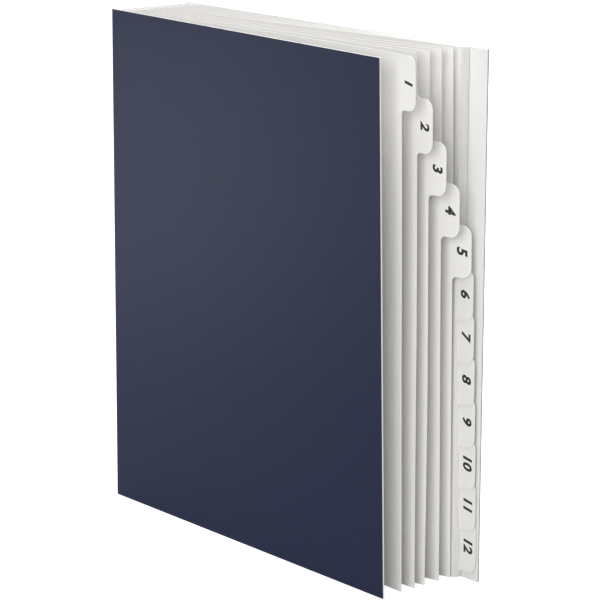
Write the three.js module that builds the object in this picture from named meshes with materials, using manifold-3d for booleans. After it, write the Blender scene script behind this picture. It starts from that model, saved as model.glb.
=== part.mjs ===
// Desk file sorter: a front and a back cover board, each faced with navy linen-grained paper,
// twelve tabbed card dividers, and one pleated paper spine that carries them all.
// Millimetres, +Z up. X runs from the spine to the fore edge and Y from the front cover to the back.
// The sorter stands on its bottom edges, open at the top, the bottom and the fore edge.

import * as THREE from 'three';
import { mergeVertices } from 'three/addons/utils/BufferGeometryUtils.js';
import Module from 'manifold-3d';

const wasm = await Module();
wasm.setup();

// Covers
const height = 304.8;
const frontCoverWidth = 254;
const backCoverWidth = 265;
const boardThickness = 0.9;
const facingThickness = 0.25;
const glueLine = 0.1;

// How far the block is spread, measured over the outer faces of the covers
const spreadAtSpine = 57;
const spreadAtForeEdge = 65.6;

// The front of the sorter stands slightly twisted, leaning in at the foot of its fore edge and out
// at the top, by this much at the edge of the front cover
const frontCoverTwist = 3.4;

// Dividers
const dividerCount = 12;
const cardThickness = 0.35;
const cardWidth = 248.2;
const tabDepth = 12.7;
const tabLength = 30;
const lastTabRise = 4.75;
const tabCornerRadius = 6;
const tabRootRadius = 3;

// The first dividers stand fanned out: where the card's edge stands, as a share of the spread at the
// fore edge, the angle at which that edge leaves, in degrees from the front cover, and the card's
// twist, as a share of the front cover's
const fannedDividers = [
  { shareOfSpread: 0.258, flare: -3, shareOfTwist: 0.7 },
  { shareOfSpread: 0.424, flare: 1, shareOfTwist: 0.47 },
  { shareOfSpread: 0.555, flare: 8, shareOfTwist: 0.3 },
  { shareOfSpread: 0.71, flare: 12, shareOfTwist: 0.59 },
  { shareOfSpread: 0.851, flare: 15, shareOfTwist: 0.62 },
];
// The others lie stacked against the back cover
const stackedGap = 0.25;
const gapToBackCover = 0.6;
const stackFlare = 0.5;

// Pleated spine
const pleatThickness = 0.3;
const pleatDepth = 12;
const outerFoldWidth = 1.2;
const innerFoldWidth = 0.8;
const outerFoldSetback = 3;
const spineEndInset = 1;
const clearance = 0.3;

// Fineness of the bent sheets
const cardSegments = 16;
const coverSegments = 12;
const heightSegments = 4;
const arcSegments = 6;

const coverThickness = boardThickness + glueLine + facingThickness;
const backCoverRise = spreadAtForeEdge - spreadAtSpine;
const backCoverAngle = Math.asin(backCoverRise / backCoverWidth);
const spinePitch = (spreadAtSpine - 2 * coverThickness) / (dividerCount + 1);

const navyLinen = { color: 0x2b3151, roughness: 0.75, metalness: 0 };
const paleBoard = { color: 0xe6e6e8, roughness: 0.85, metalness: 0 };
const dividerCard = { color: 0xe8e7e4, roughness: 0.8, metalness: 0 };
const pleatPaper = { color: 0xe4e4e6, roughness: 0.85, metalness: 0 };

// Outline of a thin strip that follows a line of plan points, mitred at each corner
function stripShape(points, thickness) {
  const half = thickness / 2;
  const left = [];
  const right = [];
  points.forEach((point, index) => {
    const before = points[Math.max(index - 1, 0)];
    const after = points[Math.min(index + 1, points.length - 1)];
    const inward = point.clone().sub(index > 0 ? before : point);
    const outward = (index < points.length - 1 ? after : point).clone().sub(point);
    const arriving = (index > 0 ? inward : outward).clone().normalize();
    const leaving = (index < points.length - 1 ? outward : inward).clone().normalize();
    const bisector = arriving.clone().add(leaving).normalize();
    const reach = half / bisector.dot(arriving);
    const offset = new THREE.Vector2(-bisector.y, bisector.x).multiplyScalar(reach);
    left.push(point.clone().add(offset));
    right.push(point.clone().sub(offset));
  });
  return new THREE.Shape([...right, ...left.reverse()]);
}

// Twists an upright sheet about the spine: its fore edge moves back at the foot and forward at
// the top, and the edge at the spine stays where it is
function twist(geometry, amount) {
  const position = geometry.attributes.position;
  for (let index = 0; index < position.count; index += 1) {
    const alongSheet = position.getX(index) / frontCoverWidth;
    const lean = 1 - (2 * position.getZ(index)) / height;
    position.setY(index, position.getY(index) + amount * alongSheet * lean);
  }
  return geometry;
}

function merged(geometry) {
  geometry.deleteAttribute('normal');
  geometry.deleteAttribute('uv');
  return mergeVertices(geometry);
}

function uprightSheet(points, thickness, twistAmount = 0) {
  const shape = stripShape(points, thickness);
  const geometry = new THREE.ExtrudeGeometry(shape, {
    depth: height,
    steps: heightSegments,
    bevelEnabled: false,
  });
  return twist(merged(geometry), twistAmount);
}

function toSolid(geometry) {
  return new wasm.Manifold(new wasm.Mesh({
    numProp: 3,
    vertProperties: new Float32Array(geometry.attributes.position.array),
    triVerts: new Uint32Array(geometry.index.array),
  }));
}

function toGeometry(solid) {
  const mesh = solid.getMesh();
  const geometry = new THREE.BufferGeometry();
  geometry.setAttribute('position', new THREE.BufferAttribute(mesh.vertProperties, 3));
  geometry.setIndex(new THREE.BufferAttribute(mesh.triVerts, 1));
  return geometry;
}

const sorter = new THREE.Group();

function addPiece(name, geometry, finish) {
  geometry.computeVertexNormals();
  const piece = new THREE.Mesh(geometry, new THREE.MeshStandardMaterial(finish));
  piece.name = name;
  sorter.add(piece);
}

// A straight row of plan points that starts at the spine and runs at an angle from the X axis
function coverLine(startY, angle, width) {
  const start = new THREE.Vector2(0, startY);
  const direction = new THREE.Vector2(Math.cos(angle), Math.sin(angle));
  return Array.from({ length: coverSegments + 1 }, (unused, step) => (
    direction.clone().multiplyScalar((width * step) / coverSegments).add(start)
  ));
}

// Covers: the facing lies outside and the board inside, glued together
const facingCentre = facingThickness / 2;
const boardCentre = facingThickness + glueLine + boardThickness / 2;

addPiece(
  'front_facing',
  uprightSheet(coverLine(facingCentre, 0, frontCoverWidth), facingThickness, frontCoverTwist),
  navyLinen,
);
addPiece(
  'front_board',
  uprightSheet(coverLine(boardCentre, 0, frontCoverWidth), boardThickness, frontCoverTwist),
  paleBoard,
);
addPiece(
  'back_facing',
  uprightSheet(coverLine(spreadAtSpine - facingCentre, backCoverAngle, backCoverWidth), facingThickness),
  navyLinen,
);
addPiece(
  'back_board',
  uprightSheet(coverLine(spreadAtSpine - boardCentre, backCoverAngle, backCoverWidth), boardThickness),
  paleBoard,
);

// Pleated spine: an outer fold wraps the spine edge of each divider, and an inner fold lies
// between neighbours, so that the strip can spread as the sorter fills
const dividers = Array.from({ length: dividerCount }, (unused, index) => index + 1);

function spineY(place) {
  return coverThickness + spinePitch * place;
}

function fold(x, y, width) {
  return [new THREE.Vector2(x, y - width / 2), new THREE.Vector2(x, y + width / 2)];
}

const innerFoldX = outerFoldSetback + pleatDepth;
const spineEndGap = clearance + pleatThickness / 2;
const pleatLine = [
  new THREE.Vector2(spineEndInset, spineY(0) + spineEndGap),
  ...fold(innerFoldX, spineY(0.5), innerFoldWidth),
  ...dividers.flatMap((place) => [
    ...fold(outerFoldSetback, spineY(place), outerFoldWidth),
    ...fold(innerFoldX, spineY(place + 0.5), innerFoldWidth),
  ]),
  new THREE.Vector2(spineEndInset, spineY(dividerCount + 1) - spineEndGap),
];
addPiece('accordion_spine', uprightSheet(pleatLine, pleatThickness), pleatPaper);

// Where the inner face of the back cover stands at a distance along X from the spine
function backCoverInnerY(x) {
  return spreadAtSpine - coverThickness + x * Math.tan(backCoverAngle);
}

// Where the edge of a divider stands, how it leaves and how it is twisted, fanned or stacked
function edgeOf(place) {
  if (place <= fannedDividers.length) {
    const { shareOfSpread, flare, shareOfTwist } = fannedDividers[place - 1];
    return {
      y: spreadAtForeEdge * shareOfSpread,
      angle: THREE.MathUtils.degToRad(flare),
      twistAmount: frontCoverTwist * shareOfTwist,
    };
  }
  const toCover = gapToBackCover + cardThickness / 2;
  const behind = (dividerCount - place) * (cardThickness + stackedGap);
  return {
    y: backCoverInnerY(cardWidth) - toCover - behind,
    angle: backCoverAngle + THREE.MathUtils.degToRad(stackFlare),
    twistAmount: 0,
  };
}

// Plan curve of a bent card, ending where its length along the bend is the card's width
function cardCurve(place) {
  const foldInside = outerFoldSetback + pleatThickness / 2 + clearance;
  const start = new THREE.Vector2(foldInside, spineY(place));
  const edge = edgeOf(place);
  const startAngle = Math.atan((edge.y - start.y) / cardWidth) / 2;
  let reach = cardWidth;
  let curve;
  for (let pass = 0; pass < 5; pass += 1) {
    const end = new THREE.Vector2(start.x + reach, edge.y);
    const third = reach / 3;
    curve = new THREE.CubicBezierCurve(
      start,
      new THREE.Vector2(start.x + third, start.y + third * Math.tan(startAngle)),
      new THREE.Vector2(end.x - third, end.y - third * Math.tan(edge.angle)),
      end,
    );
    reach += cardWidth - curve.getLength();
  }
  return curve;
}

// Outline of a card seen from the front, x to the fore edge and y upwards, with its tab. The first
// tab is flush with the card's top and the last one stands a little above its foot
function cardOutline(spineX, edgeX, tipX, place) {
  const tabStep = (height - tabLength - lastTabRise) / (dividerCount - 1);
  const tabTop = height - tabStep * (place - 1);
  const tabFoot = tabTop - tabLength;
  const shape = new THREE.Shape();
  shape.moveTo(spineX, 0);
  shape.lineTo(edgeX, 0);
  shape.lineTo(edgeX, tabFoot - tabRootRadius);
  shape.absarc(edgeX + tabRootRadius, tabFoot - tabRootRadius, tabRootRadius, Math.PI, Math.PI / 2, true);
  shape.lineTo(tipX - tabCornerRadius, tabFoot);
  shape.absarc(tipX - tabCornerRadius, tabFoot + tabCornerRadius, tabCornerRadius, -Math.PI / 2, 0, false);
  shape.lineTo(tipX, tabTop - tabCornerRadius);
  shape.absarc(tipX - tabCornerRadius, tabTop - tabCornerRadius, tabCornerRadius, 0, Math.PI / 2, false);
  if (place === 1) {
    shape.lineTo(spineX, height);
  } else {
    shape.lineTo(edgeX + tabRootRadius, tabTop);
    shape.absarc(edgeX + tabRootRadius, tabTop + tabRootRadius, tabRootRadius, -Math.PI / 2, -Math.PI, true);
    shape.lineTo(edgeX, height);
    shape.lineTo(spineX, height);
  }
  shape.closePath();
  return shape;
}

// Dividers: each is a bent sheet as wide as its tab reaches, cut to the card's outline
function dividerGeometry(place) {
  const curve = cardCurve(place);
  const points = curve.getSpacedPoints(cardSegments);
  const edge = points[points.length - 1];
  const leave = curve.getTangent(1);
  const tip = edge.clone().addScaledVector(leave, tabDepth);
  const sheet = uprightSheet([...points, tip], cardThickness, edgeOf(place).twistAmount);

  const cutDepth = 2 * spreadAtForeEdge;
  const outline = cardOutline(0, edge.x, tip.x, place);
  const cutter = new THREE.ExtrudeGeometry(outline, {
    depth: cutDepth,
    curveSegments: arcSegments,
    bevelEnabled: false,
  });
  cutter.rotateX(Math.PI / 2);
  cutter.translate(0, spreadAtForeEdge / 2 + cutDepth / 2, 0);
  return toGeometry(toSolid(sheet).intersect(toSolid(merged(cutter))));
}

dividers.forEach((place) => {
  const number = String(place).padStart(2, '0');
  addPiece(`divider_${number}`, dividerGeometry(place), dividerCard);
});

// The origin lies under the middle of the sorter, on the surface that it stands on
const bounds = new THREE.Box3().setFromObject(sorter);
const middle = bounds.getCenter(new THREE.Vector3());
sorter.position.set(-middle.x, -middle.y, -bounds.min.z);

export default sorter;
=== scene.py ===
# %% [markdown]
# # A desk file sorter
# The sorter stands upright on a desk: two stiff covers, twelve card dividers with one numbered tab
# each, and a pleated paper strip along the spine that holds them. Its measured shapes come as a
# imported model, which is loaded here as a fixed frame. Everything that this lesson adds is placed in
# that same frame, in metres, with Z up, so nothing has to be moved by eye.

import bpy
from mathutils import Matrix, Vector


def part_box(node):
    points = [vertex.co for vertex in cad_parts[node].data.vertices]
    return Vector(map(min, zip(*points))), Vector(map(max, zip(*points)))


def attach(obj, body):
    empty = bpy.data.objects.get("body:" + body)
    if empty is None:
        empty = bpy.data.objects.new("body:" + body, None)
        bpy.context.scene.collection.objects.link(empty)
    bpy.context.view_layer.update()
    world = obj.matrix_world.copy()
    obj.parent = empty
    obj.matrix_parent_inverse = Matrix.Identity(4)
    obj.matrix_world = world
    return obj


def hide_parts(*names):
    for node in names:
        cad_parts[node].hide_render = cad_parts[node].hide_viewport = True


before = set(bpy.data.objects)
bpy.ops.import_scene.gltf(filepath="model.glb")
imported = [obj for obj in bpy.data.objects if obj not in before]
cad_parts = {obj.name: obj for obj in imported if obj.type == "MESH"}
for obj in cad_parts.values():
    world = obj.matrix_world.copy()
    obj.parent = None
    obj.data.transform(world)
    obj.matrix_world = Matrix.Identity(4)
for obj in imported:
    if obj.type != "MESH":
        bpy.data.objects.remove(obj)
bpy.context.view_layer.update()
print("nodes in the frame:", len(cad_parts))

# %% Libraries and units
import math
from bisect import bisect_right

import bmesh
import bpy
from mathutils import Matrix, Vector

MM = 0.001
print("one millimetre is", MM, "of a scene unit")

# %% [markdown]
# ## Sizes
# Every sheet of the sorter is cut flat and then stands bent. So each one is described by its flat
# size, and by a line on the desk that it follows when seen from above. The sizes are those of the
# measured frame. Typing the sheets' corners would give the same shapes, but flat sizes are what a
# maker knows, and they keep the paper's length the same however it bends.

# %% The sizes of covers, dividers and spine
HEIGHT = 304.8 * MM
FRONT_WIDTH = 254 * MM
BACK_WIDTH = 265 * MM
BOARD = 0.9 * MM
FACING = 0.25 * MM
GLUE = 0.1 * MM
COVER = BOARD + GLUE + FACING
SPREAD_AT_SPINE = 57 * MM
SPREAD_AT_EDGE = 65.6 * MM
FRONT_TWIST = 3.4 * MM
BACK_ANGLE = math.asin((SPREAD_AT_EDGE - SPREAD_AT_SPINE) / BACK_WIDTH)

DIVIDERS = 12
CARD = 0.35 * MM
CARD_WIDTH = 248.2 * MM
TAB_DEPTH = 12.7 * MM
TAB_LENGTH = 30 * MM
LAST_TAB_RISE = 4.75 * MM
SPINE_PITCH = (SPREAD_AT_SPINE - 2 * COVER) / (DIVIDERS + 1)

low_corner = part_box("front_facing")[0]
SPINE_CORNER = Vector((low_corner.x, low_corner.y + FRONT_TWIST))
print("spine corner:", [round(value / MM, 2) for value in SPINE_CORNER], "mm")

# %% [markdown]
# ## Bending a sheet
# A real divider is a flat die-cut card, and the spine pushes it into a soft curve. Blender could
# bend a sheet with a Curve modifier or a lattice, but a modifier stretches thin card near its ends.
# Here each vertex of the flat sheet is carried along the line: its X is the distance run along the
# line, its Y the distance from the sheet's middle, and its Z stays. The card keeps its true width
# and its thickness. The same carrying is used later for the printed numerals, so they lie on the
# card exactly.

# %% A line that a sheet follows
def run_along(points):
    """The plan points of a line, with the distance run up to each and the direction there."""
    run = [0.0]
    for before, after in zip(points, points[1:]):
        run.append(run[-1] + (after - before).length)
    last = len(points) - 1
    directions = [
        (points[min(index + 1, last)] - points[max(index - 1, 0)]).normalized()
        for index in range(last + 1)
    ]
    return points, run, directions


def place_on(line, distance):
    """The plan point at that distance along a line, and the direction towards the back there."""
    points, run, directions = line
    index = min(max(bisect_right(run, distance) - 1, 0), len(points) - 2)
    share = (distance - run[index]) / (run[index + 1] - run[index])
    point = points[index].lerp(points[index + 1], share)
    within = min(max(share, 0.0), 1.0)
    along = directions[index].lerp(directions[index + 1], within).normalized()
    return point, Vector((-along.y, along.x))


straight = run_along([Vector((0, 0)), Vector((1, 0))])
print("a step of 0.25 along a straight line:", place_on(straight, 0.25)[0])

# %% Carrying a flat sheet onto its line
def carry(bm, line, twist=0.0, wave=None):
    """Bends a flat upright sheet along a line, twists it about the spine and makes it wavy."""
    for vertex in bm.verts:
        distance, depth, up = vertex.co
        point, back = place_on(line, distance)
        point = point + back * depth
        lean = twist * (point.x / FRONT_WIDTH) * (1 - 2 * up / HEIGHT)
        ripple = wave(distance, up) if wave else 0.0
        place = SPINE_CORNER + point + Vector((0, lean + ripple))
        vertex.co = (place.x, place.y, up)


# %% A flat rectangle that stands on its foot
def flat_sheet(width, height):
    """One upright face from the spine at X 0, with its foot at Z 0."""
    bm = bmesh.new()
    upright = Matrix.Rotation(math.pi / 2, 4, "X") @ Matrix.Diagonal((width, height, 1, 1))
    bmesh.ops.create_grid(
        bm,
        x_segments=1,
        y_segments=1,
        size=0.5,
        matrix=Matrix.Translation((width / 2, 0, height / 2)) @ upright,
    )
    return bm


CUT_TOLERANCE = 1e-7


def slice_sheet(bm, axis, places):
    """Adds a row of edges wherever a plane across the axis meets the sheet."""
    direction = Vector([1.0 if index == axis else 0.0 for index in range(3)])
    for place in places:
        everything = bm.verts[:] + bm.edges[:] + bm.faces[:]
        bmesh.ops.bisect_plane(
            bm, geom=everything, dist=CUT_TOLERANCE, plane_co=direction * place, plane_no=direction
        )


def steps(length, count):
    """The places that cut a length into equal shares, without its ends."""
    return [length * index / count for index in range(1, count)]


print("four shares of one metre are cut at", steps(1.0, 4))

# %% Thickness and soft rims
RIM_ANGLE = math.radians(40)
RIM_SEGMENTS = 2
CREASE_ANGLE = math.radians(12)


def thicken(bm, thickness):
    """Gives a flat sheet its thickness, half to each side."""
    bmesh.ops.recalc_face_normals(bm, faces=bm.faces[:])
    bmesh.ops.solidify(bm, geom=bm.faces[:], thickness=thickness)
    depths = [vertex.co.y for vertex in bm.verts]
    middle = (min(depths) + max(depths)) / 2
    bmesh.ops.translate(bm, verts=bm.verts[:], vec=(0, -middle, 0))
    bmesh.ops.recalc_face_normals(bm, faces=bm.faces[:])


def edges_over(bm, angle):
    """The edges where two faces meet at more than an angle."""
    return [
        edge for edge in bm.edges
        if len(edge.link_faces) == 2 and edge.calc_face_angle() > angle
    ]


def soften_rim(bm, radius):
    """Rounds the cut rim a little, as a guillotine leaves it."""
    bmesh.ops.bevel(
        bm,
        geom=edges_over(bm, RIM_ANGLE),
        offset=radius,
        offset_type="OFFSET",
        segments=RIM_SEGMENTS,
        profile=0.5,
        affect="EDGES",
        material=-1,
    )


print("a rim is where faces meet at more than", round(math.degrees(RIM_ANGLE)), "degrees")

# %% [markdown]
# ## Finishes
# Every finish is made of nodes on Object coordinates, so no picture file is needed and the grain
# has its real size in metres. Writing dozens of Math nodes by hand is hard to read. So a small class
# wraps an output, and ordinary Python arithmetic on it adds the Math nodes.

# %% Arithmetic on the outputs of nodes
class Wire:
    """An output of a node; sums, differences and products of it are Math nodes."""

    def __init__(self, graph, socket):
        self.graph = graph
        self.socket = socket

    def math(self, operation, first, second):
        return self.graph.add("ShaderNodeMath", {"operation": operation}, {0: first, 1: second})

    def __add__(self, other):
        return self.math("ADD", self, other)

    def __radd__(self, other):
        return self.math("ADD", other, self)

    def __sub__(self, other):
        return self.math("SUBTRACT", self, other)

    def __rsub__(self, other):
        return self.math("SUBTRACT", other, self)

    def __mul__(self, other):
        return self.math("MULTIPLY", self, other)

    def __rmul__(self, other):
        return self.math("MULTIPLY", other, self)


# %% One way to add any node
class Graph:
    """A node tree, to which nodes are added with their settings first and then their sockets."""

    def __init__(self, owner):
        owner.use_nodes = True
        self.tree = owner.node_tree

    def find(self, sockets, key):
        if isinstance(key, int):
            return sockets[key]
        named = [socket for socket in sockets if key in (socket.identifier, socket.name)]
        return named[0]

    def feed(self, node, sockets):
        for key, value in sockets.items():
            socket = self.find(node.inputs, key)
            if isinstance(value, Wire):
                self.tree.links.new(value.socket, socket)
            else:
                socket.default_value = value

    def add(self, kind, settings, sockets, output=0):
        node = self.tree.nodes.new(kind)
        for name, value in settings.items():
            setattr(node, name, value)
        self.feed(node, sockets)
        return Wire(self, self.find(node.outputs, output))


trial_material = bpy.data.materials.new("trial")
value = Graph(trial_material).add("ShaderNodeValue", {}, {})
result = 1 - value * 2
print("1 - value * 2 ends in a node that does:", result.socket.node.operation)
bpy.data.materials.remove(trial_material)

# %% Helpers for grain and colour
def object_position(graph):
    return graph.add("ShaderNodeTexCoord", {}, {}, "Object")


def noise(graph, position, per_metre, detail=2.0):
    """Noise from 0 to 1 with its own number of spots per metre along X, Y and Z."""
    stretched = graph.add(
        "ShaderNodeVectorMath", {"operation": "MULTIPLY"}, {0: position, 1: per_metre}
    )
    return graph.add("ShaderNodeTexNoise", {}, {"Vector": stretched, "Scale": 1.0, "Detail": detail})


def mix_colours(graph, factor, first, second):
    return graph.add(
        "ShaderNodeMix",
        {"data_type": "RGBA"},
        {"Factor_Float": factor, "A_Color": (*first, 1), "B_Color": (*second, 1)},
        "Result_Color",
    )


def bump(graph, height, strength, distance):
    return graph.add(
        "ShaderNodeBump", {}, {"Strength": strength, "Distance": distance, "Height": height}
    )


def finish(name, make):
    """A material with one Principled shader, whose sockets are what make(graph) returns."""
    material = bpy.data.materials.new(name)
    graph = Graph(material)
    shader = next(node for node in graph.tree.nodes if node.type == "BSDF_PRINCIPLED")
    graph.feed(shader, make(graph))
    print(name, "has", len(graph.tree.nodes), "nodes")
    return material


# %% [markdown]
# ## Navy linen-grained paper
# The facing of the covers is a printed paper embossed with a linen weave: fine threads that run
# across and up, with the ones across showing more. A woven picture would need a file. Two noises,
# each stretched strongly along one direction, give threads that differ from one another as woven
# ones do. The threads lift the light in a Bump and let the colour vary slightly, and a third, broad
# noise keeps the cover from looking evenly dyed.

# %% The navy facing
NAVY_DEEP = (0.0018, 0.0060, 0.0240)
NAVY_LIFTED = (0.0068, 0.0128, 0.0450)
# spots per metre along X, Y and Z
THREADS_ACROSS = (60, 60, 950)
THREADS_UPWARD = (950, 950, 60)
PATCHES = (14, 14, 14)
GRAIN_DEPTH = 0.15 * MM


def navy_linen(graph):
    position = object_position(graph)
    across = noise(graph, position, THREADS_ACROSS)
    upward = noise(graph, position, THREADS_UPWARD)
    patches = noise(graph, position, PATCHES)
    weave = across * 0.65 + upward * 0.35
    tone = weave * 0.8 + patches * 0.2
    return {
        "Base Color": mix_colours(graph, tone, NAVY_DEEP, NAVY_LIFTED),
        "Roughness": 0.36 + weave * 0.16,
        "Specular IOR Level": 0.1,
        "Normal": bump(graph, weave, 0.5, GRAIN_DEPTH),
    }


navy_facing = finish("navy_linen_paper", navy_linen)

# %% [markdown]
# ## Pale board, card and pleat paper
# The boards, the dividers and the pleats are uncoated paper goods in slightly different whites. Up
# close they have faint fibres and a soft unevenness, which keep large pale areas from looking like
# plastic. One recipe with different colours serves all three, because they differ in nothing else.

# %% The pale paper goods
# spots per metre along X, Y and Z
FIBRES = (900, 900, 500)
CLOUD = (9, 9, 6)
FIBRE_DEPTH = 0.05 * MM


def paper_goods(colour, shaded):
    """A recipe for an uncoated paper that varies between two whites."""
    def recipe(graph):
        position = object_position(graph)
        fibres = noise(graph, position, FIBRES, detail=3.0)
        cloud = noise(graph, position, CLOUD)
        tone = fibres * 0.35 + cloud * 0.65
        return {
            "Base Color": mix_colours(graph, tone, shaded, colour),
            "Roughness": 0.7 + fibres * 0.15,
            "Specular IOR Level": 0.3,
            "Normal": bump(graph, fibres, 0.15, FIBRE_DEPTH),
        }
    return recipe


pale_board = finish("pale_board", paper_goods((0.80, 0.80, 0.795), (0.76, 0.76, 0.755)))
divider_card = finish("divider_card", paper_goods((0.83, 0.82, 0.80), (0.79, 0.78, 0.755)))
pleat_paper = finish("pleat_paper", paper_goods((0.82, 0.82, 0.83), (0.78, 0.78, 0.79)))

# %% The print on the tabs
PRINT_BLACK = (0.012, 0.012, 0.013, 1)
tab_print = finish("tab_print", lambda graph: {"Base Color": PRINT_BLACK, "Roughness": 0.6})

# %% [markdown]
# ## Turning a sheet into a piece
# Each finished sheet becomes one object at the origin, so its coordinates are those of the frame.
# It rides on the body that it belongs to, so it moves when a cover opens. It also stands for its
# plain node in the frame, which then isn't shown. The broad faces are shaded smooth. Their edge with
# the rounded rim is kept sharp, because smooth shading across it would darken a band beside the rim.

# %% Finishing a piece
def to_piece(bm, name, body, material, stands_for=None, crease=CREASE_ANGLE):
    """Makes the object, shaded smooth but for the edges that are sharper than the crease."""
    bmesh.ops.recalc_face_normals(bm, faces=bm.faces[:])
    for face in bm.faces:
        face.smooth = True
    for edge in edges_over(bm, crease):
        edge.smooth = False
    mesh = bpy.data.meshes.new(name)
    bm.to_mesh(mesh)
    bm.free()
    mesh.materials.append(material)
    piece = bpy.data.objects.new(name, mesh)
    bpy.context.scene.collection.objects.link(piece)
    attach(piece, body)
    if stands_for:
        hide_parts(stands_for)
    print(name, "rides on", body, "with", len(mesh.polygons), "faces")


# %% [markdown]
# ## The two covers
# Each cover is a thick pale board with the navy paper glued on its outside. The edges are cut flush,
# so the board shows as a thin bright line beside the navy. That line would be lost if the cover were
# one block with two colours, so board and paper are separate sheets with a film of glue between
# them. The front cover stands slightly twisted, as a board does that only its spine edge holds.

# %% A cover sheet
COVER_COLUMNS = 24
COVER_ROWS = 28


def cover_sheet(width, thickness, start, angle, twist, rim):
    """A board or facing that starts at the spine and runs straight at an angle."""
    bm = flat_sheet(width, HEIGHT)
    slice_sheet(bm, 0, steps(width, COVER_COLUMNS))
    slice_sheet(bm, 2, steps(HEIGHT, COVER_ROWS))
    thicken(bm, thickness)
    soften_rim(bm, rim)
    direction = Vector((math.cos(angle), math.sin(angle)))
    line = run_along([Vector((0, start)), Vector((0, start)) + direction * width])
    carry(bm, line, twist)
    return bm


print("a cover sheet has", COVER_COLUMNS, "columns and", COVER_ROWS, "rows")

# %% The layers of a cover, from outside to inside
BOARD_RIM = 0.15 * MM
FACING_RIM = 0.06 * MM
BOARD_MIDDLE = FACING + GLUE + BOARD / 2
# layer, thickness, depth of its middle below the outside, radius of its rim, finish and slot
LAYERS = (
    ("facing", FACING, FACING / 2, FACING_RIM, navy_facing, "navy_linen_paper"),
    ("board", BOARD, BOARD_MIDDLE, BOARD_RIM, pale_board, "pale_board"),
)
# side, width, place of its outside at the spine, direction inwards, angle, twist
SIDES = (
    ("front", FRONT_WIDTH, 0.0, 1, 0.0, FRONT_TWIST),
    ("back", BACK_WIDTH, SPREAD_AT_SPINE, -1, BACK_ANGLE, 0.0),
)

# %% Making the covers
for side, width, outside, inwards, angle, twist in SIDES:
    for layer, thickness, depth, rim, material, slot in LAYERS:
        to_piece(
            cover_sheet(width, thickness, outside + inwards * depth, angle, twist, rim),
            f"{side}_cover_{layer}",
            f"{side}_cover",
            material,
            stands_for=f"{side}_{layer}",
        )

# %% [markdown]
# ## The pleated spine
# One strip of paper is folded to and fro. Each outer fold wraps the spine edge of a divider, and each
# inner fold lies between two of them. Extruding a zigzag gives knife-sharp folds, which paper never
# has. So every corner of the zigzag is replaced by a small arc, and the flat strip gets one row of
# vertices at each point of the rounded line.

# %% The folded line of the spine
PLEAT = 0.3 * MM
PLEAT_DEPTH = 12 * MM
OUTER_FOLD = 1.2 * MM
INNER_FOLD = 0.8 * MM
SETBACK = 3 * MM
END_INSET = 1 * MM
CLEARANCE = 0.3 * MM
FOLD_RADIUS = 0.28 * MM


def spine_y(place):
    return COVER + SPINE_PITCH * place


def folded_line():
    """The corners of the strip from the front cover to the back cover."""
    inner_x = SETBACK + PLEAT_DEPTH
    end_gap = CLEARANCE + PLEAT / 2
    folds = [(inner_x, 0.5, INNER_FOLD)]
    for place in range(1, DIVIDERS + 1):
        folds += [(SETBACK, place, OUTER_FOLD), (inner_x, place + 0.5, INNER_FOLD)]
    corners = [Vector((END_INSET, spine_y(0) + end_gap))]
    for x, place, width in folds:
        corners += [Vector((x, spine_y(place) - width / 2)), Vector((x, spine_y(place) + width / 2))]
    corners.append(Vector((END_INSET, spine_y(DIVIDERS + 1) - end_gap)))
    return corners


print("the spine strip has", len(folded_line()), "fold corners and ends")

# %% Rounding the folds
ARC_STEPS = 4
LONGEST_REACH = 0.45


def rounded(corners, radius):
    """Replaces each corner of a line by an arc that is tangent to both its sides."""
    points = [corners[0]]
    for before, corner, after in zip(corners, corners[1:], corners[2:]):
        arriving = (corner - before).normalized()
        leaving = (after - corner).normalized()
        turn = arriving.angle(leaving)
        reach = min(radius * math.tan(turn / 2), (after - corner).length * LONGEST_REACH)
        start = corner - arriving * reach
        end = corner + leaving * reach
        for step in range(ARC_STEPS + 1):
            share = step / ARC_STEPS
            near = start.lerp(corner, share)
            far = corner.lerp(end, share)
            points.append(near.lerp(far, share))
    points.append(corners[-1])
    return points


spine_points = rounded(folded_line(), FOLD_RADIUS)
print("the rounded line has", len(spine_points), "points")

# %% Folding the strip
def column_sheet(run, rows):
    """A flat sheet with one column of vertices at each of the distances in run."""
    bm = bmesh.new()
    columns = len(run) - 1
    upright = Matrix.Rotation(math.pi / 2, 4, "X") @ Matrix.Diagonal((1, HEIGHT, 1, 1))
    bmesh.ops.create_grid(
        bm,
        x_segments=columns,
        y_segments=rows,
        size=0.5,
        matrix=Matrix.Translation((0.5, 0, HEIGHT / 2)) @ upright,
    )
    for vertex in bm.verts:
        vertex.co.x = run[round(vertex.co.x * columns)]
    return bm


STRIP_ROWS = 6
spine_line = run_along(spine_points)
strip = column_sheet(spine_line[1], STRIP_ROWS)
thicken(strip, PLEAT)
carry(strip, spine_line)
to_piece(
    strip, "pleated_spine", "block", pleat_paper,
    stands_for="accordion_spine", crease=RIM_ANGLE,
)

# %% [markdown]
# ## The twelve dividers
# A divider is one card with a tab on its fore edge. The tab's outer corners are rounded and its roots
# have a small fillet, as a die cuts them. One way is to draw the outline point by point. Here the
# card starts as a rectangle, the tab is extruded from its edge, and a bevel on single vertices
# rounds the corners, so the radii stay exact and easy to change.

# %% The outline of a card
TAB_CORNER = 6 * MM
TAB_ROOT = 3 * MM
CORNER_SEGMENTS = 8
TAB_STEP = (HEIGHT - TAB_LENGTH - LAST_TAB_RISE) / (DIVIDERS - 1)
TOLERANCE = 0.01 * MM


def near(first, second):
    return abs(first - second) < TOLERANCE


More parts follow.
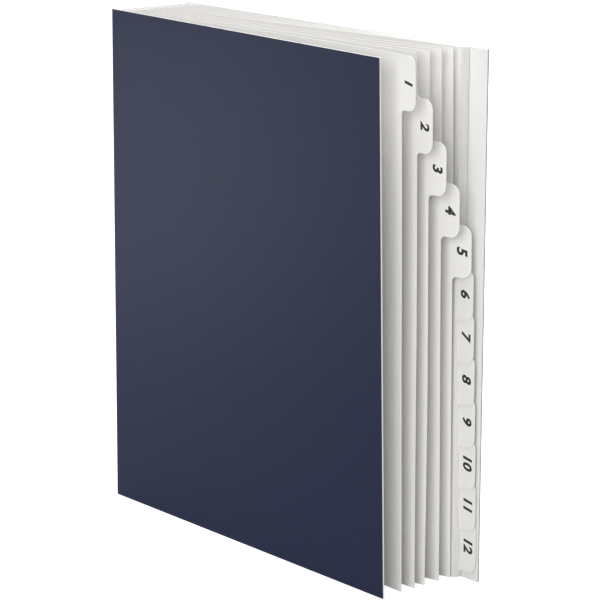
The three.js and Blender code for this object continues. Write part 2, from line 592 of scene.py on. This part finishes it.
def round_corners(bm, places, radius):
    """Rounds the corners of the one face that stand at these places."""
    corners = [
        vertex for vertex in bm.verts
        if any(near(vertex.co.x, x) and near(vertex.co.z, z) for x, z in places)
    ]
    bmesh.ops.bevel(
        bm,
        geom=corners,
        offset=radius,
        offset_type="ABSOLUTE",
        segments=CORNER_SEGMENTS,
        profile=0.5,
        affect="VERTICES",
        material=-1,
    )


def card_blank(place):
    """The flat card of a divider with its tab."""
    tab_top = HEIGHT - TAB_STEP * (place - 1)
    tab_foot = tab_top - TAB_LENGTH
    bm = flat_sheet(CARD_WIDTH, HEIGHT)
    roots = [z for z in (tab_foot, tab_top) if TOLERANCE < z < HEIGHT - TOLERANCE]
    slice_sheet(bm, 2, roots)
    middle = Vector((CARD_WIDTH, 0, (tab_foot + tab_top) / 2))
    fore_edge = [
        edge for edge in bm.edges
        if all(near(vertex.co.x, CARD_WIDTH) for vertex in edge.verts)
        and (edge.verts[0].co - middle).dot(edge.verts[1].co - middle) < 0
    ]
    grown = bmesh.ops.extrude_edge_only(bm, edges=fore_edge)["geom"]
    tab_verts = [item for item in grown if isinstance(item, bmesh.types.BMVert)]
    bmesh.ops.translate(bm, verts=tab_verts, vec=(TAB_DEPTH, 0, 0))
    bmesh.ops.recalc_face_normals(bm, faces=bm.faces[:])
    bmesh.ops.dissolve_faces(bm, faces=bm.faces[:], use_verts=False)
    tip = CARD_WIDTH + TAB_DEPTH
    round_corners(bm, [(tip, tab_foot), (tip, tab_top)], TAB_CORNER)
    round_corners(bm, [(CARD_WIDTH, z) for z in roots], TAB_ROOT)
    return bm


trial = card_blank(6)
print("a card blank has", len(trial.faces), "face and", len(trial.verts), "vertices")
print("its area:", round(sum(face.calc_area() for face in trial.faces) / MM ** 2), "square mm")
trial.free()

# %% [markdown]
# ## How the dividers stand
# The first five dividers stand fanned out, and the others lie stacked against the back cover. Each
# leaves the spine at its own fold and ends at its own place on the fore edge. A smooth cubic curve
# joins the two, as thin card does that is held at one edge only. The curve's reach is corrected a
# few times until its length is the card's width.

# %% Where each divider ends
# share of the spread at the fore edge, flare in degrees, share of the front cover's twist
FAN = (
    (0.258, -3, 0.7),
    (0.424, 1, 0.47),
    (0.555, 8, 0.3),
    (0.71, 12, 0.59),
    (0.851, 15, 0.62),
)
STACK_GAP = 0.25 * MM
GAP_TO_COVER = 0.6 * MM
STACK_FLARE = 0.5


def edge_of(place):
    """Where the divider's edge stands, the angle at which it leaves and its twist."""
    if place <= len(FAN):
        share, flare, twist = FAN[place - 1]
        return SPREAD_AT_EDGE * share, math.radians(flare), FRONT_TWIST * twist
    inner_face = SPREAD_AT_SPINE - COVER + CARD_WIDTH * math.tan(BACK_ANGLE)
    behind = (DIVIDERS - place) * (CARD + STACK_GAP)
    return inner_face - GAP_TO_COVER - CARD / 2 - behind, BACK_ANGLE + math.radians(STACK_FLARE), 0.0


for place in (1, 6, 12):
    print("divider", place, "ends at", [round(value, 4) for value in edge_of(place)])

# %% The curve of each divider
CURVE_STEPS = 96
LENGTH_PASSES = 5


def cubic(first, second, third, fourth, share):
    a, b, c = first.lerp(second, share), second.lerp(third, share), third.lerp(fourth, share)
    return a.lerp(b, share).lerp(b.lerp(c, share), share)


def card_line(place):
    """The plan line of a divider, as long as the card is wide."""
    start = Vector((SETBACK + PLEAT / 2 + CLEARANCE, spine_y(place)))
    edge_y, edge_angle = edge_of(place)[:2]
    start_angle = math.atan((edge_y - start.y) / CARD_WIDTH) / 2
    reach = CARD_WIDTH
    for length_pass in range(LENGTH_PASSES):
        end = Vector((start.x + reach, edge_y))
        third = reach / 3
        leaving = start + Vector((third, third * math.tan(start_angle)))
        arriving = end - Vector((third, third * math.tan(edge_angle)))
        points = [
            cubic(start, leaving, arriving, end, step / CURVE_STEPS)
            for step in range(CURVE_STEPS + 1)
        ]
        line = run_along(points)
        reach += CARD_WIDTH - line[1][-1]
    return line


print("divider 5's line is", round(card_line(5)[1][-1] / MM, 3), "mm long")

# %% [markdown]
# ## Cards that aren't perfectly flat
# Thin card takes up a soft wave from handling and damp, most at its free edge. A little of it makes
# the gaps between the leaves uneven, as they really are. It fades to nothing at the spine and
# towards the stack, where neighbours hold each other flat.

# %% The wave of each card
# height of the wave in millimetres, by divider
WAVES = {1: 0.25, 2: 0.35, 3: 0.6, 4: 0.35, 5: 0.25}
BOW_SHARE = 0.6
HALF_WAVES = 2.6
SHIFT_PER_CARD = 1.7


def wave_of(place):
    """A soft ripple up the free edge, different on each of the fanned cards."""
    height = WAVES.get(place, 0.0) * MM

    def ripple(distance, up):
        share = max(distance, 0.0) / CARD_WIDTH
        bow = math.sin(math.pi * up / HEIGHT)
        roll = math.sin(HALF_WAVES * math.pi * up / HEIGHT + SHIFT_PER_CARD * place)
        return height * share ** 2 * (BOW_SHARE * bow + (1 - BOW_SHARE) * roll)

    return ripple


print("divider 3's wave at mid height:", round(wave_of(3)(CARD_WIDTH, HEIGHT / 2) / MM, 2), "mm")

# %% Making the dividers
CARD_COLUMNS = 40
CARD_ROWS = 20

for place in range(1, DIVIDERS + 1):
    card = card_blank(place)
    slice_sheet(card, 0, steps(CARD_WIDTH, CARD_COLUMNS) + [CARD_WIDTH])
    slice_sheet(card, 2, steps(HEIGHT, CARD_ROWS))
    thicken(card, CARD)
    carry(card, card_line(place), edge_of(place)[2], wave_of(place))
    to_piece(
        card,
        f"divider_card_{place:02d}",
        "block",
        divider_card,
        stands_for=f"divider_{place:02d}",
    )

# %% [markdown]
# ## Numerals on the tabs
# Each tab carries its printed place in black, turned so that it reads from the top down. Print could
# be painted in the card's material, but a picture would be needed for the shapes. Text made into a
# thin mesh and carried onto the card in the same way as the card itself lies flat on it and stays
# sharp from near.

# %% The numeral of a tab
CAP_HEIGHT = 6.8 * MM
FONT_CAP_SHARE = 0.729
SLANT = 0.2
BOLDNESS = 0.34 * MM
OUTLINE_STEPS = 6
PRINT_FROM_TIP = 6.1 * MM
PRINT_LIFT = 0.02 * MM
PRINT_FILM = 0.01 * MM
MERGE_WITHIN = 0.002 * MM


def numeral_mesh(text):
    """The mesh of a bold slanted numeral that lies in the XY plane."""
    curve = bpy.data.curves.new("numeral_text", "FONT")
    curve.body = text
    curve.size = CAP_HEIGHT / FONT_CAP_SHARE
    curve.shear = SLANT
    curve.offset = BOLDNESS
    curve.extrude = PRINT_FILM
    curve.resolution_u = OUTLINE_STEPS
    holder = bpy.data.objects.new("numeral_text", curve)
    bpy.context.scene.collection.objects.link(holder)
    bpy.context.view_layer.update()
    ready = holder.evaluated_get(bpy.context.evaluated_depsgraph_get())
    mesh = bpy.data.meshes.new_from_object(ready)
    bpy.data.objects.remove(holder)
    bpy.data.curves.remove(curve)
    return mesh


def numeral_sheet(place):
    """The numeral as a flat sheet beside its card: the text's right points down, its top outwards."""
    mesh = numeral_mesh(str(place))
    bm = bmesh.new()
    bm.from_mesh(mesh)
    bpy.data.meshes.remove(mesh)
    bmesh.ops.remove_doubles(bm, verts=bm.verts[:], dist=MERGE_WITHIN)
    corners = [
        Vector([pick(vertex.co[axis] for vertex in bm.verts) for axis in range(3)])
        for pick in (min, max)
    ]
    centre = (corners[0] + corners[1]) / 2
    tab_middle = HEIGHT - TAB_STEP * (place - 1) - TAB_LENGTH / 2
    for vertex in bm.verts:
        right, top, out = vertex.co - centre
        distance = CARD_WIDTH + TAB_DEPTH - PRINT_FROM_TIP + top
        vertex.co = (distance, -(CARD / 2 + PRINT_LIFT + out), tab_middle - right)
    return bm, corners[1] - corners[0]


# %% Printing the numerals
for place in range(1, DIVIDERS + 1):
    sheet, size = numeral_sheet(place)
    carry(sheet, card_line(place), edge_of(place)[2], wave_of(place))
    to_piece(sheet, f"tab_numeral_{place:02d}", "block", tab_print)
    print("numeral", place, "is", [round(value / MM, 2) for value in size], "mm")

# %% [markdown]
# ## Floor and surroundings
# The sorter was photographed on white, with almost no shadow. A pale floor takes the soft shadow of
# the object, and seen by the camera it is a little brighter than its own white, so that it runs into
# the background. Only rays that see it directly get that addition, so it doesn't light the object.

# %% A pale floor
FLOOR_SIZE = 14.0
FLOOR_WHITE = (0.45, 0.45, 0.45, 1)
GLOW_NEAR = 0.75
GLOW_FAR = 0.97
GLOW_RISES = (0.4, 1.6)


def seen_directly(graph):
    """1 for rays that see a surface from the camera, by reflection or through glass."""
    direct = graph.add("ShaderNodeLightPath", {}, {}, "Is Camera Ray")
    mirrored = graph.add("ShaderNodeLightPath", {}, {}, "Is Glossy Ray")
    through = graph.add("ShaderNodeLightPath", {}, {}, "Is Transmission Ray")
    return graph.add(
        "ShaderNodeMath", {"operation": "MINIMUM"}, {0: direct + mirrored + through, 1: 1.0}
    )


def floor_white(graph):
    position = object_position(graph)
    away = graph.add("ShaderNodeVectorMath", {"operation": "LENGTH"}, {0: position}, "Value")
    nearness = graph.add(
        "ShaderNodeMapRange",
        {"interpolation_type": "SMOOTHSTEP"},
        {"Value": away, "From Min": GLOW_RISES[0], "From Max": GLOW_RISES[1],
         "To Min": GLOW_NEAR, "To Max": GLOW_FAR},
    )
    glow = mix_colours(graph, seen_directly(graph) * nearness, (0, 0, 0), (1, 1, 1))
    return {
        "Base Color": FLOOR_WHITE,
        "Roughness": 0.9,
        "Specular IOR Level": 0.2,
        "Emission Color": glow,
        "Emission Strength": 1.0,
    }


floor_bm = bmesh.new()
bmesh.ops.create_grid(floor_bm, x_segments=1, y_segments=1, size=FLOOR_SIZE / 2)
floor_mesh = bpy.data.meshes.new("floor")
floor_bm.to_mesh(floor_mesh)
floor_bm.free()
floor_mesh.materials.append(finish("floor_white", floor_white))
floor = bpy.data.objects.new("floor", floor_mesh)
bpy.context.scene.collection.objects.link(floor)
print("floor of", FLOOR_SIZE, "m")

# %% [markdown]
# ## Light
# White paper only shows its form through soft shading in the gaps. So an even white surrounding
# fills the shadows and the large soft lights give them a direction. The main light stands at the
# front right and reaches into the gaps between the dividers. One hangs above for the cut edges, and
# one stands behind for the back cover. A small light at the front left, with a grid that keeps it off
# the rest, lays the faint sheen that fades across the navy cover.

# %% The white surroundings
WORLD_LIGHT = 0.25

world = bpy.data.worlds.new("white_surroundings")
bpy.context.scene.world = world
world_graph = Graph(world)
background = next(node for node in world_graph.tree.nodes if node.type == "BACKGROUND")
world_colour = mix_colours(world_graph, seen_directly(world_graph), (WORLD_LIGHT,) * 3, (1, 1, 1))
world_graph.feed(background, {"Color": world_colour, "Strength": 1.0})
print("the surroundings give", WORLD_LIGHT)

# %% The soft lights
AIM = (0, 0, 0.15)


def soft_light(name, place, size, watts, aim=AIM, spread=180):
    """A square area light that looks at a point of the sorter, through a grid of that spread."""
    light = bpy.data.lights.new(name, "AREA")
    light.shape = "SQUARE"
    light.size = size
    light.energy = watts
    light.spread = math.radians(spread)
    lamp = bpy.data.objects.new(name, light)
    lamp.location = place
    lamp.rotation_mode = "QUATERNION"
    lamp.rotation_quaternion = (Vector(aim) - Vector(place)).to_track_quat("-Z", "Y")
    bpy.context.scene.collection.objects.link(lamp)
    print(name, "shines with", watts, "W from", place)


soft_light("front_light", place=(1.05, -1.5, 0.75), size=1.3, watts=23.0)
soft_light("top_light", place=(0.1, -0.1, 1.8), size=1.2, watts=37.0)
soft_light(
    "left_light", place=(-0.44, -0.36, 0.15), size=0.26, watts=0.16,
    aim=(-0.14, -0.03, 0.15), spread=70,
)
soft_light("back_light", place=(-0.5, 1.6, 0.8), size=1.2, watts=12.0)

# %% [markdown]
# ## Camera
# The photograph was taken from the front right, a little above the sorter, with a long lens that
# keeps the sides nearly parallel. Its place and turn were found by fitting the corners of the covers
# to the picture, and they are given here as a direction towards the camera and a small roll.

# %% The camera
CAMERA_PLACE = Vector((1.247668, -0.983020, 0.517156))
AZIMUTH = math.radians(51.50889)
ELEVATION = math.radians(13.18621)
ROLL = math.radians(0.24031)
LENS = 167.124
SENSOR = 36.0

right = Vector((math.cos(AZIMUTH), math.sin(AZIMUTH), 0))
back = Vector((
    math.sin(AZIMUTH) * math.cos(ELEVATION),
    -math.cos(AZIMUTH) * math.cos(ELEVATION),
    math.sin(ELEVATION),
))
up = back.cross(right)
rolled_right = right * math.cos(ROLL) + up * math.sin(ROLL)
rolled_up = up * math.cos(ROLL) - right * math.sin(ROLL)
turn = Matrix((rolled_right, rolled_up, back)).transposed()

camera_data = bpy.data.cameras.new("camera")
camera_data.lens = LENS
camera_data.sensor_width = SENSOR
camera = bpy.data.objects.new("camera", camera_data)
camera.matrix_world = Matrix.Translation(CAMERA_PLACE) @ turn.to_4x4()
bpy.context.scene.collection.objects.link(camera)
bpy.context.scene.camera = camera
bpy.context.scene.view_settings.view_transform = "Standard"
print("camera at", [round(value, 3) for value in CAMERA_PLACE], "with a lens of", LENS, "mm")
